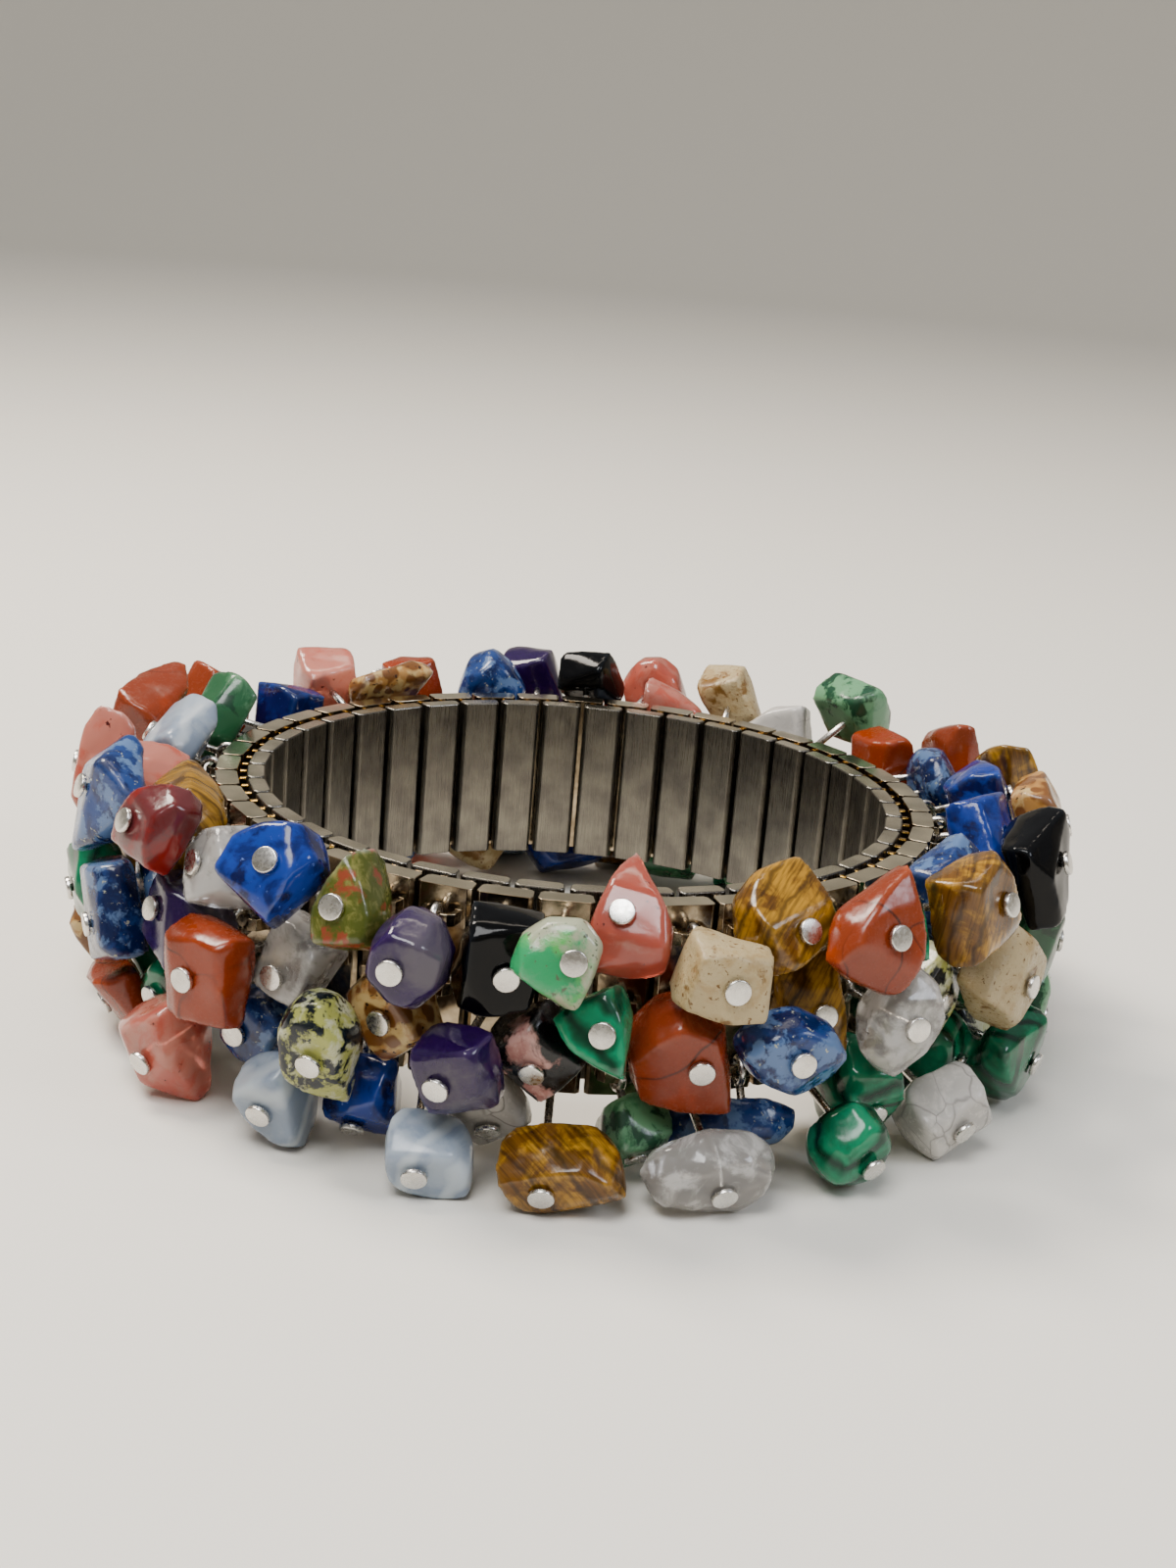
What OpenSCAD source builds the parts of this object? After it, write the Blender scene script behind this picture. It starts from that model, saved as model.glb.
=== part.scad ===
// Stretch bracelet: a two-row expansion band of box links, hung all round with tumbled stone chips on head pins
// Units are millimetres; +Z is up, the band's axis is Z and the lowest stones stand on Z = 0

/* [Band] */
// Inside diameter of the relaxed band
inner_d = 54; // [50:0.5:60]
// Width of the band, which is its height as it lies on its side
band_h = 15.4; // [14:0.2:18]
// Height of the band's lower edge above the surface, where the hanging stones hold it
raise = 4.9; // [4.6:0.1:6]
// Thickness of an inner link
inner_t = 1.5; // [1.2:0.1:1.8]
// Thickness of an outer link
outer_t = 1.9; // [1.6:0.1:2.2]
// Space between the two rows of links
row_gap = 0.8; // [0.6:0.1:1]
// Space between neighbouring links of the inner row
inner_gap = 0.4; // [0.3:0.05:0.6]
// Space between neighbouring links of the outer row
outer_gap = 0.36; // [0.3:0.02:0.5]
// Broken edge along each link's long sides
link_edge = 0.3; // [0.2:0.05:0.5]

/* [Clips] */
// Width of a clip leg that joins the two rows
clip_w = 0.55; // [0.4:0.05:0.7]
// Height of a clip leg
clip_h = 1.5; // [1:0.1:2]
// Distance from the band's rim to a clip leg
clip_inset = 0.3; // [0.2:0.1:1]

/* [Lugs] */
// Width of a lug round the band
lug_w = 2.9; // [2.7:0.1:3.2]
// Height of a lug's strap
lug_h = 1; // [0.8:0.1:1]
// Metal thickness of a lug's strap
lug_wall = 0.4; // [0.3:0.05:0.45]
// Depth of a lug's eye, from the link's face to its strap
lug_eye = 1.2; // [1.15:0.05:1.4]
// Distance from the band's rim to the middle of the upper and lower lugs
lug_inset = 2.2; // [2:0.1:2.6]

/* [Head pins] */
// Wire of a head pin's loop
loop_wire = 0.6; // [0.5:0.02:0.6]
// Wire of a head pin's shank
shank_d = 0.66; // [0.6:0.02:0.7]
// Outside diameter of a head pin's loop
loop_d = 2.5; // [2.5:0.05:2.7]
// Diameter of a head pin's flat round head
head_d = 2; // [1.6:0.1:2.2]
// Thickness of that head
head_t = 0.4; // [0.3:0.05:0.5]
// Drilled hole through each stone
bore_d = 0.94; // [0.9:0.02:1.1]
// Space between a head and the corner of the stone that it stops
head_gap = 0.1; // [0.1:0.05:0.2]

/* [Stones] */
// Girth of the stones as a share of the sizes charted below
stone_girth = 0.97; // [0.8:0.02:1]
// Space between a loop and the near end of its stone
stone_start = 0.35; // [0.3:0.05:0.6]

/* [Hidden] */
links = 42;
pitch = 360 / links;
// Upper, middle and lower lug of a link
rows = [0, 1, 2];
LOWER = 2;
inner_r = inner_d / 2;
outer_r0 = inner_r + inner_t + row_gap;
outer_r1 = outer_r0 + outer_t;
loop_r = outer_r1 + lug_eye + lug_wall / 2;
rim_z = raise + band_h;
// Heights of the upper, middle and lower lugs
lug_z = [rim_z - lug_inset, raise + band_h / 2, raise + lug_inset];
// Gap left between a clip leg and the outer row
clip_gap = 0.1;
// Depth to which legs and lugs are sunk into the link that carries them
root = 0.2;
// Broken outer corners and filled inner corners of a lug's strap
lug_corner = 0.5;
lug_fillet = 0.2;
stone_z0 = loop_d / 2 + stone_start;
// Length of the drill, measured from the lug, which is past the end of every stone
bore_l = 20;
// First and last link whose three head pins are solids here, which is the front of the band
pin_first = 25;
pin_last = 37;

// Outlines that tumbling leaves: reach at eight corners from the lowest one round, and girth of the near end,
// of the far shoulder and of the far end
REACH = 0;
GIRTH = 1;
DIAMOND = [[1.24, 0.88, 1.20, 0.90, 1.24, 0.87, 1.20, 0.90], [0.84, 0.98, 0.88]];
BLOCK = [[0.86, 1.20, 0.88, 1.18, 0.86, 1.20, 0.88, 1.16], [0.84, 0.98, 0.88]];
WEDGE = [[1.30, 0.72, 0.80, 1.15, 0.88, 1.15, 0.80, 0.72], [0.84, 0.98, 0.88]];
POINT = [[0.90, 1.12, 0.86, 0.80, 1.30, 0.80, 0.86, 1.12], [0.84, 0.98, 0.86]];
KITE = [[1.20, 0.84, 1.02, 1.05, 0.90, 0.98, 1.14, 0.86], [0.82, 0.98, 0.84]];
SLAB = [[0.84, 1.24, 0.98, 0.90, 0.82, 1.24, 0.98, 0.90], [0.84, 0.98, 0.88]];
PEBBLE = [[1.08, 1.00, 1.04, 1.02, 1.04, 0.98, 1.06, 1.00], [0.76, 0.96, 0.78]];
corners = 8;
// Levels along a stone where its girth is given, as shares of its length
LEVELS = [0, 0.28, 0.72, 1];
far_end = len(LEVELS) - 1;
// Angle by which each level's corners are turned from the one before
level_twist = 7;

// How the stones hang: one row for each lug, upper, middle and lower, from the outer link at +X to the left
// Columns: swing to the side, lift above level, bare shank, thickness on the pin, width, height, turn on the
// pin, how far the hole is drilled off the middle of the width, slopes of the near and the far end, outline,
// and the letter of the mineral, which the chip modules below give
SWING = 0;
LIFT = 1;
BARE = 2;
LENGTH = 3;
WIDTH = 4;
HEIGHT = 5;
TURN = 6;
OFF = 7;
NEAR_SLOPE = 8;
FAR_SLOPE = 9;
OUTLINE = 10;
MINERAL = 11;
// A lower stone with at least this much bare shank stands on the surface, and its lift is worked out
standing_bare = 2;
// The steepest that such a stone may hang
steepest = -60;
HANG = [
    [-8.5, 32.4, 0.31, 4.88, 9.25, 9.35, -19.6, -0.03, 2.6, -11, BLOCK, "L"],
    [-5.7, -7.2, 4.28, 4.35, 7.9, 8.7, 123.6, 0.94, 3.2, -4.9, SLAB, "S"],
    [4.4, -23.5, 0, 3.38, 10.56, 9.3, 70.4, -1.38, -0.2, 5.3, WEDGE, "A"],
    [0.6, 12.4, 4.45, 4.44, 10.5, 10.26, 22.6, 0.89, -2.8, -3.2, POINT, "T"],
    [-1.7, -13.3, 0, 3.91, 10.46, 8.71, -37.2, -0.08, 10.1, 8.6, BLOCK, "G"],
    [-8.3, 0, 4.57, 4.57, 8.51, 10.71, 94.7, -0.29, 1.7, -5.4, PEBBLE, "R"],
    [-6.1, 10.5, 0, 3.69, 9.2, 9.52, -68.8, -0.03, -1.6, 9.8, PEBBLE, "S"],
    [-1, -12.3, 4.61, 4.23, 10.83, 9.19, 13.8, 0.65, 1.3, 5, BLOCK, "J"],
    [8.2, -25.3, 0.12, 4.84, 8.41, 9.82, -73.2, 1.28, 1.8, 9.2, WEDGE, "P"],
    [-7.6, 6.2, 4.7, 4.02, 9.46, 7.47, -68, -0.78, -4.4, -0.6, DIAMOND, "R"],
    [11.1, 0.6, 0, 3.65, 8.54, 8.64, 60.3, -0.52, 11, 11, SLAB, "O"],
    [1, 0, 4.44, 4.17, 9.11, 9.45, -61.5, 0.34, 2.3, -0.2, WEDGE, "B"],
    [-13.8, 12.5, 0.11, 4.24, 7.53, 6.91, -10.5, -1.15, -9.5, -0.6, BLOCK, "R"],
    [-4.9, 1.1, 4.8, 4, 9.4, 7.77, 68.3, -0.35, 2.5, -0.8, DIAMOND, "A"],
    [1.6, -22.6, 0, 3.63, 10.43, 9.75, 61.6, -0.37, 6.8, 0.4, KITE, "U"],
    [-11.2, 30.5, 3.85, 4.45, 8.63, 7.66, -9, 0.94, 0.2, 5.9, BLOCK, "G"],
    [-11.7, -1.2, 0.02, 4.79, 8.69, 8.22, 1.4, -0.67, 0.2, -1.5, WEDGE, "T"],
    [-3.8, 0, 4.16, 3.89, 11.56, 9.82, 28.7, -0.72, -11, -11, DIAMOND, "M"],
    [6.7, -7.9, 0, 4.3, 7.86, 8.31, 70.6, 0.59, -10.9, -2.9, WEDGE, "H"],
    [3, -3, 4.11, 4.74, 9.93, 9.6, -1.9, 0.35, -5, -0.3, SLAB, "R"],
    [-11.7, -35.2, 0.02, 3.88, 10.58, 9.51, -42.8, 0.64, 11, 8.5, PEBBLE, "G"],
    [18, 12.1, 4.18, 4.6, 5.99, 7.92, -33.1, -0.09, -2.8, -11, BLOCK, "F"],
    [1.1, -2.8, 0, 3.34, 9.04, 8.18, -68.5, 0.37, -11, -2.3, BLOCK, "A"],
    [-1.9, 0, 4.44, 4.56, 10.45, 7.97, 24.8, -1.31, -5.4, 3.3, WEDGE, "M"],
    [14.5, -2.8, 0, 3.67, 7.99, 8.46, -42.5, 0.58, 4.2, -8.1, POINT, "P"],
    [-6.7, -6.7, 4.18, 4.56, 9.92, 8.98, -8.4, -0.24, 2.4, 1.3, BLOCK, "S"],
    [5.1, -33.2, 0, 4.49, 9.21, 9.09, -10.1, 0.34, -1.4, 10.3, BLOCK, "G"],
    [-5.1, 8.2, 4.7, 4.01, 7.45, 8.58, 1.5, -0.79, -2.8, -2.6, PEBBLE, "P"],
    [2.2, 10.6, 0, 3.58, 7.81, 9.62, -37.7, 0.94, -8, -2.8, POINT, "B"],
    [3, 0, 4.7, 4.18, 8.6, 9.07, -100.8, 0.79, -2.8, -4.4, BLOCK, "T"],
    [-8.7, 40.5, 0.69, 4.24, 6.45, 7.48, -28.3, -0.22, 11, 9.8, BLOCK, "O"],
    [-8.8, 3.6, 4.62, 4.12, 10.89, 10.15, 7.9, 0.08, -3.3, -7.6, POINT, "R"],
    [13.1, -31.3, 0.44, 4.79, 10.27, 8.99, -70.5, 0.68, 11, -0.3, KITE, "L"],
    [-8.4, 8, 4.26, 4.55, 6.55, 8.81, -26.1, 0.48, 3.2, -5.4, BLOCK, "A"],
    [-9.1, 2.6, 0, 4.21, 8.11, 10.18, 14.4, -0.62, 4.6, 2.1, DIAMOND, "U"],
    [10.7, 0, 4.6, 4.58, 7.43, 10.76, 80.3, 0.3, -5.4, 7.7, BLOCK, "B"],
    [-14.9, 15.5, 0, 4.99, 7.12, 8.69, -15.6, -0.31, -2.2, -11, PEBBLE, "S"],
    [0.9, 0.8, 4.21, 4.66, 7.94, 9.28, 51.8, -0.74, -0.8, -0.4, KITE, "Q"],
    [8.1, -31.8, 0, 3.55, 9.77, 9.55, 30.6, -0.72, 0.5, 5.5, POINT, "F"],
    [5.9, -1.3, 4.29, 4.42, 6.75, 8.29, -18.1, -0.6, -11, -8.3, BLOCK, "R"],
    [10.9, 7.2, 0, 3.83, 8.85, 9.57, 9.7, -0.21, 5.7, 4.2, BLOCK, "L"],
    [1.6, 0, 4.36, 4.63, 10.09, 9.42, -9.4, 0.08, -10.9, 6.4, BLOCK, "P"],
    [10.5, 39.2, 0, 2.81, 11.33, 7.63, -4, 0.16, -8.1, -8.4, WEDGE, "J"],
    [-1.3, 6.2, 4.06, 4.73, 9.58, 7.63, -73.2, 1.03, 1.7, -1.7, KITE, "G"],
    [-4.9, -23.9, 0.06, 3.34, 9.6, 9.37, 79.6, -0.72, 11, -0.6, KITE, "S"],
    [-9.5, 13.5, 3.82, 4.72, 6.83, 7.32, -18, -0.31, 7.4, -7.7, BLOCK, "P"],
    [-14.8, -1.3, 0, 3.83, 10.33, 7.11, 89.5, -0.11, -9.1, -4.5, POINT, "T"],
    [-9.3, 0, 4.5, 4.45, 9.93, 7.95, -21.7, 0.69, -8, 4.9, DIAMOND, "R"],
    [5.1, -6.3, 0.07, 4.75, 6.42, 8.06, 4.3, -0.45, 11, -11, BLOCK, "L"],
    [4.1, -0.3, 3.92, 4.9, 9.03, 7.97, -0, -0.96, -11, 0, BLOCK, "O"],
    [7.6, -28.7, 0, 3.4, 10.09, 8.67, 13.1, -0.89, 7.1, 4.3, BLOCK, "F"],
    [5.7, 4, 4.36, 4.5, 9.12, 9.96, 14, -0.25, -1.1, -0.1, BLOCK, "R"],
    [16.4, -10.8, 0.14, 4.44, 8.99, 8.16, -0.3, 0.14, -7.3, 7.1, BLOCK, "H"],
    [-6.5, 0, 4.48, 4.05, 9.53, 10.93, 104.8, 0.87, 0.1, -3.5, KITE, "G"],
    [18.9, 22.3, 0, 4.69, 8.23, 8.99, -62, -0.69, 6.7, 3.3, SLAB, "G"],
    [7.3, -0.9, 4.39, 4.46, 9.39, 7.92, 86, -0.61, 11, 1, SLAB, "R"],
    [3.6, -50.2, 0.41, 4.86, 8.79, 9.17, 47.6, -0.15, 10.9, -7, WEDGE, "A"],
    [2.2, 13.6, 4.72, 4.22, 11.67, 8.86, -22.9, -1.07, 11, -2.7, BLOCK, "R"],
    [4.1, -5.9, 0, 3.74, 7.89, 9.2, 110.1, -0.78, -11, 3.2, SLAB, "S"],
    [-1.4, 0, 3.82, 5.01, 9.99, 7.63, 85.9, -0.11, 2.4, 3.1, DIAMOND, "Q"],
    [-2.4, 27.3, 0, 4.39, 8.5, 9.81, -34.6, -0.18, 4.1, -11, BLOCK, "B"],
    [-1.8, -3.5, 4.42, 4.43, 9.14, 8.2, 3, 0.02, 8.5, -0.1, KITE, "D"],
    [15.5, -24.2, 0, 3.68, 8.21, 8.82, 77.3, -0.87, 11, 11, BLOCK, "A"],
    [-0.1, 7.9, 4.37, 4.48, 8.76, 10.56, -26.4, 0.33, 0.6, 0.5, POINT, "P"],
    [-5.1, 3.9, 0, 4.46, 8.31, 10.03, 46.9, 0.73, 2.7, 11, SLAB, "T"],
    [-3.7, 0, 4.4, 4.24, 9.18, 10.03, 68, 0.1, -0.6, -1.3, BLOCK, "J"],
    [15.4, 17.4, 0.09, 5.41, 7.81, 8.38, 59.5, -0.19, 9.1, -11, WEDGE, "P"],
    [6.4, -10.5, 4.76, 4.13, 8.09, 9.61, 106.9, 0.03, -11, -0.1, SLAB, "M"],
    [-15.5, -37.1, 0.68, 3.48, 9.78, 7.64, 24, 0.22, -6.8, 3, DIAMOND, "M"],
    [4.6, 18.3, 4.7, 4.21, 10.39, 9.89, -34.9, 0.45, -7.2, -11, WEDGE, "S"],
    [3.3, -8.2, 0, 3.66, 9.49, 9.52, 56.8, -0.58, 11, 2.7, PEBBLE, "S"],
    [8, 0, 4.23, 3.08, 8.85, 7.89, 0.9, 0.42, 5.1, -7.8, BLOCK, "R"],
    [2.1, 31.3, 0, 4.14, 10.12, 8.58, -15.5, -0.39, 2.5, -8.5, SLAB, "T"],
    [-7.3, -7.2, 4.7, 4.13, 10.09, 9.16, -35.8, -1.23, -0.5, 2.6, DIAMOND, "S"],
    [18.8, -11.2, 0.24, 4.58, 7.31, 7.92, -27.7, 0.97, -5.1, 3.8, KITE, "M"],
    [-4.9, 21.2, 4.8, 4.29, 8.59, 7.15, 27.4, 0.8, 4.3, -3.7, KITE, "C"],
    [-0.6, 15.7, 1, 5.53, 7.99, 7.71, -33.8, 1.05, -0, -11, BLOCK, "A"],
    [15.2, 0, 3.94, 5.29, 9.1, 8.32, 18.1, 0.09, 11, 11, WEDGE, "P"],
    [-13.8, 13.2, 0, 5.6, 6.64, 8.65, 24.2, 0.07, -6.4, 11, SLAB, "Q"],
    [10.4, -1.7, 4.8, 4.09, 7.77, 9.15, -12.4, 0.42, 7.8, -0, BLOCK, "R"],
    [18.5, -4.2, 0, 4, 6.74, 6.71, 6.4, 0.89, 8, 2.9, PEBBLE, "S"],
    [13.5, 28.2, 3.28, 5.55, 8.08, 7.88, 1.4, -0.63, -0.8, 6.6, KITE, "L"],
    [4.4, 1.8, 0, 4.19, 7.53, 6.8, 56.2, 1.03, 3.1, 11, BLOCK, "Q"],
    [14.6, 0, 3.1, 5.05, 6.65, 7.34, 14.3, 0.55, -8.5, 11, WEDGE, "B"],
    [5.1, 16, 0.51, 5.38, 6.12, 7.37, -9.3, 0.37, 2.2, 5.6, POINT, "U"],
    [6.8, -18.9, 4.8, 4.34, 6.27, 9.62, 13, -0.21, 11, 5.9, KITE, "Y"],
    [18.9, -50, 0.2, 4.84, 7.14, 5.81, 19.2, 1.05, 11, 4.9, WEDGE, "L"],
    [4.8, -2.6, 3.23, 5.61, 6.34, 7.38, 2.4, 0.54, 9.5, 0.7, PEBBLE, "A"],
    [-12.2, -6.7, 0, 4.78, 6.38, 7.69, 22.2, -0.44, 4, -4.5, BLOCK, "J"],
    [19, 0, 4.6, 5.17, 7.03, 6.2, -8.2, 0.96, -4.3, 10.6, SLAB, "B"],
    [17, -8, 0, 5.59, 6.69, 8.75, -16.9, -0.38, -9.1, 11, BLOCK, "O"],
    [-9.6, -17.5, 4.4, 4.64, 6.72, 6.91, 0.9, 0.73, -1.6, 8.7, BLOCK, "A"],
    [14.8, -42.1, 0, 3.32, 6.48, 6.53, 22, -0.08, 2.8, 10.6, BLOCK, "H"],
    [4.5, 10.5, 4.8, 4.08, 6.73, 6.92, 8.1, -0.86, -7.4, 2.1, KITE, "V"],
    [-13.3, -23.8, 0.76, 4.46, 6.98, 6.89, 32.2, -0.24, 10.3, 6.6, BLOCK, "D"],
    [-0.5, 0, 4.51, 5.05, 9.14, 6.24, 11.9, 1.34, 11, 7.9, SLAB, "T"],
    [-18.3, 37.4, 0.28, 4.22, 7.5, 9.1, -1.9, 0.51, -11, -1.2, POINT, "P"],
    [-17.8, 10.2, 3.61, 4.48, 6.37, 6.46, 21.8, -0.56, 6.8, 11, WEDGE, "M"],
    [18.5, -49.1, 0.16, 4.32, 6.14, 6.91, -18.5, -0.03, 8.2, -0.3, WEDGE, "G"],
    [-1.9, 0.9, 3.71, 5.16, 6.79, 7.51, 69.4, -0.12, 9.2, 0.3, BLOCK, "F"],
    [-9.3, -12.2, 0.86, 5.45, 8.16, 10.31, 31.8, -1.16, 9.3, -1.7, KITE, "R"],
    [2.8, 0, 4.7, 4.87, 10.34, 6.5, 6.1, -0.23, -11, 3.4, PEBBLE, "Q"],
    [9.9, 22.4, 0.2, 4.74, 7.89, 9.56, -80.8, -1.36, 2, 2, SLAB, "T"],
    [-5.3, -1.8, 4.07, 4.69, 9.04, 6.44, -14.3, 0.25, -8.3, 3.3, PEBBLE, "S"],
    [-10.5, -53.9, 0.79, 3.31, 11.32, 5.42, 10.4, -1.37, 4.9, 8.5, PEBBLE, "S"],
    [0.1, 16.1, 4.7, 4.18, 8.55, 9.26, -39.6, -0.02, 6.1, -3.8, POINT, "R"],
    [-18.9, 7.2, 0, 3.9, 6.25, 11.02, 0.9, -0.68, -8.5, 6.3, BLOCK, "T"],
    [2.1, 0, 4.6, 4.67, 6.58, 7.22, -0, -0.53, -3.7, 11, PEBBLE, "M"],
    [-12.2, 13.2, 0, 4.79, 6.15, 6.24, 12.8, 0.65, -8.6, 7.4, WEDGE, "M"],
    [-19, 4.9, 4.1, 5.03, 6.16, 9.03, -16.7, 0.07, -2.8, 0.5, PEBBLE, "Q"],
    [-17.8, -22, 0, 5.03, 6.28, 10.64, -11.3, -0.2, 1.1, -11, SLAB, "M"],
    [0.4, 17.5, 4.25, 4.73, 8.07, 8.88, 1.7, -1.04, -0.5, -7.2, BLOCK, "T"],
    [2, -8.4, 0.27, 3.79, 10.18, 8.75, 34.6, -0.85, 1.5, 3.9, BLOCK, "Y"],
    [-10.9, 0, 4.13, 5.09, 7.96, 6.48, 12.4, 0.35, -4.7, 10.5, BLOCK, "H"],
    [-8.9, 18.9, 0, 4.43, 8.91, 7.98, -34.2, -0.59, -10.6, -11, DIAMOND, "S"],
    [-1.7, 2.7, 4.8, 3.97, 9.65, 8.69, -48.7, -0.72, -11, -3.3, BLOCK, "F"],
    [-1, -23.4, 0, 4.05, 9.39, 9.23, 74.4, -0.67, 8.6, -1.7, KITE, "M"],
    [1.6, 18.3, 4.72, 4.26, 8.8, 9.01, -42.9, 0.4, 11, -7.9, DIAMOND, "O"],
    [-16.6, -5.3, 0, 4.74, 8.03, 9.2, -42.9, 0.19, 6.6, -4.6, BLOCK, "G"],
    [-7.5, 0, 4.63, 4.34, 9.69, 8.41, 2.4, -0.77, -10.6, 3.7, WEDGE, "M"],
    [-2.8, 32.6, 0, 4.3, 7.6, 9.84, -31.7, -0.38, -2.2, -7.6, BLOCK, "L"],
    [10.5, -2.3, 4.4, 4.11, 10.03, 8.95, -9, 0.21, 1.1, -5, BLOCK, "G"],
    [-14.7, -48.4, 0.07, 5.11, 9.99, 7.31, -7.4, 0.76, 6.5, -4.6, BLOCK, "Y"],
    [-3.6, 17.7, 4.7, 3.91, 8.79, 10.55, -11.2, 0.18, 4.1, 0.1, BLOCK, "J"],
    [7.3, -9.2, 0, 3.22, 8.69, 7.97, 15.6, -0.25, 3.1, 11, BLOCK, "G"],
    [5.5, 0, 4.39, 4.83, 8.34, 9.11, 18.3, 0.52, 2.4, 6.5, PEBBLE, "G"],
];

function hung(i, row) = HANG[i * len(rows) + row];

// Corner points of a stone that hangs along +Z, its near end at Z = 0
function chip_points(h) =
    let (
        reaches = h[OUTLINE][REACH],
        g = h[OUTLINE][GIRTH],
        girth = [g[0], 1, g[1], g[2]],
        slope = [h[NEAR_SLOPE], 0, 0, h[FAR_SLOPE]]
    )
    [
        for (level = [0:far_end])
            for (c = [0:corners - 1])
                let (
                    reach = reaches[c] * girth[level] * stone_girth / 2,
                    a = c * 360 / corners + level_twist * level,
                    x = reach * h[HEIGHT] * cos(a),
                    y = reach * h[WIDTH] * sin(a) + h[OFF]
                )
                [x, y, LEVELS[level] * h[LENGTH] + x * tan(slope[level])]
    ];

// Height of a lower stone's lowest corner above the surface at a given lift
function lowest(h, lift) =
    lug_z[LOWER] + min([
        for (p = chip_points(h))
            sin(lift) * (p.z + stone_z0 + h[BARE]) - cos(lift) * (p.x * cos(h[TURN]) - p.y * sin(h[TURN]))
    ]);

// Lift at which a lower stone just stands on the surface, found by halving the span between two lifts
function settled(h, low, high, halvings = 14) =
    let (mid = (low + high) / 2)
    halvings == 0 ? high
    : lowest(h, mid) < 0 ? settled(h, mid, high, halvings - 1)
    : settled(h, low, mid, halvings - 1);

function lift(i, row) =
    let (h = hung(i, row))
    row == LOWER && h[BARE] > standing_bare ? settled(h, steepest, 0) : h[LIFT];

chip_faces = [
    [for (c = [0:corners - 1]) c],
    for (level = [0:far_end - 1])
        for (c = [0:corners - 1])
            let (
                a = level * corners + c,
                b = level * corners + (c + 1) % corners,
                up = corners
            )
            each [[a, a + up, b], [b, a + up, b + up]],
    [for (c = [corners - 1:-1:0]) far_end * corners + c],
];

// Where a head stands: past the highest corner of the stone's far end under it
function head_z(h) = stone_z0 + h[BARE] + h[LENGTH] + head_d / 2 * abs(tan(h[FAR_SLOPE])) + head_gap;

// Carries its children from the loop's own axes to a lug of an outer link
module at_lug(i, row) {
    rotate([0, 0, (i + 0.5) * pitch])
        translate([loop_r, 0, lug_z[row]])
            rotate([0, 90 - lift(i, row), hung(i, row)[SWING]])
                children();
}

// One tumbled chip, drilled along its pin
module chip(i, row) {
    h = hung(i, row);
    at_lug(i, row)
        difference() {
            translate([0, 0, stone_z0 + h[BARE]])
                rotate([0, 0, h[TURN]])
                    polyhedron(chip_points(h), chip_faces, convexity = 4);
            cylinder(d = bore_d, h = bore_l, $fn = 32);
        }
}

// All chips whose mineral has this letter
module chips(letter) {
    for (i = [0:links - 1])
        for (row = rows)
            if (hung(i, row)[MINERAL] == letter)
                chip(i, row);
}

module red_jasper_chips() {
    color("#b23a22")
        chips("R");
}

module lapis_chips() {
    color("#20367c")
        chips("L");
}

module sodalite_chips() {
    color("#55688c")
        chips("S");
}

module amethyst_chips() {
    color("#7c6296")
        chips("A");
}

module clear_quartz_chips() {
    color("#c9cbc8")
        chips("Q");
}

module rose_quartz_chips() {
    color("#dc9ba4")
        chips("P");
}

module tiger_eye_chips() {
    color("#8a5a24")
        chips("T");
}

module aventurine_chips() {
    color("#5d8a62")
        chips("G");
}

module malachite_chips() {
    color("#1c7a58")
        chips("M");
}

module obsidian_chips() {
    color("#1c1c20")
        chips("O");
}

module carnelian_chips() {
    color("#9c2c1a")
        chips("C");
}

module leopard_jasper_chips() {
    color("#9a7650")
        chips("J");
}

module fossil_jasper_chips() {
    color("#d3c3a0")
        chips("F");
}

module howlite_chips() {
    color("#dcdad4")
        chips("H");
}

module rhodonite_chips() {
    color("#b4606e")
        chips("D");
}

module unakite_chips() {
    color("#84865a")
        chips("U");
}

module blue_agate_chips() {
    color("#a3b8cc")
        chips("B");
}

module dendritic_agate_chips() {
    color("#c0aa6c")
        chips("Y");
}

module chrysoprase_chips() {
    color("#8fc4a0")
        chips("V");
}

// Wire loop closed round the lug, shank through the stone and flat head that stops it
module head_pin(i, row) {
    h = hung(i, row);
    shank_z = (loop_d - loop_wire) / 2;
    at_lug(i, row) {
        rotate([90, 0, 0])
            rotate_extrude($fn = 48)
                translate([shank_z, 0])
                    circle(d = loop_wire, $fn = 24);
        translate([0, 0, shank_z])
            cylinder(d = shank_d, h = head_z(h) + head_t / 2 - shank_z, $fn = 24);
        translate([0, 0, head_z(h)])
            cylinder(d = head_d, h = head_t, $fn = 48);
    }
}

module head_pins() {
    color("#c9c6bf")
        for (i = [pin_first:pin_last])
            for (row = rows)
                head_pin(i, row);
}

// Plan of a box link between two radii, with its long edges broken
module link_plan(r0, r1, gap) {
    w0 = r0 * sin(pitch / 2) * 2 - gap;
    w1 = w0 + (r1 - r0) * sin(pitch / 2) * 2;
    e = link_edge;
    polygon([
        [r0, -w0 / 2 + e],
        [r0 + e, -w0 / 2],
        [r1 - e, -w1 / 2],
        [r1, -w1 / 2 + e],
        [r1, w1 / 2 - e],
        [r1 - e, w1 / 2],
        [r0 + e, w0 / 2],
        [r0, w0 / 2 - e],
    ]);
}

// One inner link with the clip legs that reach across to its two outer links, at both rims
module inner_link() {
    translate([0, 0, raise])
        linear_extrude(height = band_h)
            link_plan(inner_r, inner_r + inner_t, inner_gap);
    for (side = [-1, 1])
        for (z = [raise + clip_inset, rim_z - clip_inset - clip_h])
            rotate([0, 0, side * pitch / 4])
                translate([inner_r + inner_t - root, -clip_w / 2, z])
                    cube([root + row_gap - clip_gap, clip_w, clip_h]);
}

module inner_links() {
    color("#b9b4a9")
        for (i = [0:links - 1])
            rotate([0, 0, i * pitch])
                inner_link();
}

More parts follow.
